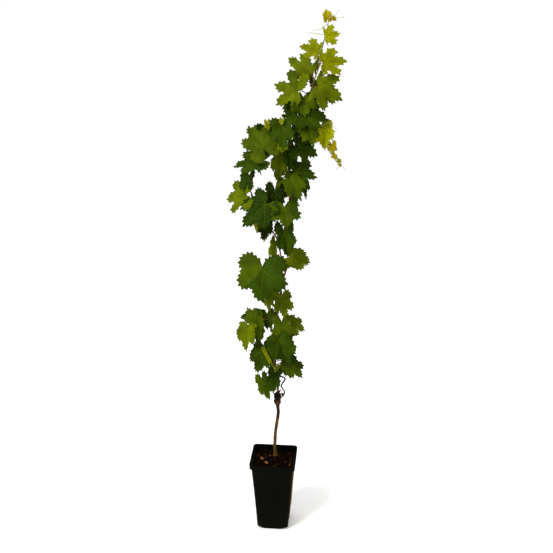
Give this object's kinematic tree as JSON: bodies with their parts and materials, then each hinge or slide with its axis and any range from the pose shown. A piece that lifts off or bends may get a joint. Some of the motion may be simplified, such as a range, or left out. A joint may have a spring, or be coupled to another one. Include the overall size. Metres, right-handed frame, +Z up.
{
  "type": "potted grapevine",
  "caption": "Young grapevine in a deep square pot: short grafted trunk, a forked climbing shoot and lobed leaves in loose masses.",
  "frame": {"origin": "centre of the pot's flat underside, at ground level", "axes": "+Z up along the plant, +X to the side the top of the vine leans to, -Y to the side most leaves face; the pot's sides are square to X and Y"},
  "size_m": [0.325, 0.1685, 1.5384],
  "materials": {
    "pot_plastic": "satin",
    "compost": "matte",
    "label_card": "matte",
    "bark": "matte",
    "shoot_bark": "satin",
    "leaf": "satin",
    "young_leaf": "satin"
  },
  "bodies": {
    "root": {"pot": "pot_plastic", "soil": "compost", "label": "label_card", "trunk": "bark", "shoot_low": "shoot_bark", "shoot_middle": "shoot_bark", "right_shoot": "shoot_bark", "right_shoot_top": "shoot_bark", "left_shoot": "shoot_bark", "left_shoot_top": "shoot_bark", "side_shoot": "shoot_bark", "tip_leaves_1": "young_leaf", "tip_leaves_2": "young_leaf", "tip_leaves_3": "young_leaf", "tip_leaves_4": "young_leaf", "tip_leaves_5": "young_leaf", "tip_leaves_6": "young_leaf", "tip_leaves_7": "young_leaf", "bend_leaves_1": "leaf", "bend_leaves_2": "leaf", "bend_leaves_3": "leaf", "bend_leaves_4": "leaf", "bend_leaves_5": "leaf", "right_leaves_1": "leaf", "right_leaves_2": "leaf", "right_leaves_3": "leaf", "right_leaves_4": "leaf", "right_leaves_5": "leaf", "left_leaves_1": "leaf", "left_leaves_2": "leaf", "left_leaves_3": "leaf", "left_leaves_4": "leaf", "left_leaves_5": "leaf", "left_leaves_6": "leaf", "fork_leaves_1": "leaf", "fork_leaves_2": "leaf", "fork_leaves_3": "leaf", "fork_leaves_4": "leaf", "middle_leaves_1": "leaf", "middle_leaves_2": "leaf", "middle_leaves_3": "leaf", "middle_leaves_4": "leaf", "middle_leaves_5": "leaf", "middle_leaves_6": "leaf", "middle_leaves_7": "leaf", "middle_leaves_8": "leaf", "lower_leaves_1": "leaf", "lower_leaves_2": "leaf", "lower_leaves_3": "leaf", "lower_leaves_4": "leaf", "lower_leaves_5": "leaf", "rear_leaves_1": "leaf", "rear_leaves_2": "leaf", "rear_leaves_3": "leaf", "rear_leaves_4": "leaf", "rear_leaves_5": "leaf", "rear_leaves_6": "leaf", "rear_leaves_7": "leaf", "rear_leaves_8": "leaf"}
  },
  "joints": []
}
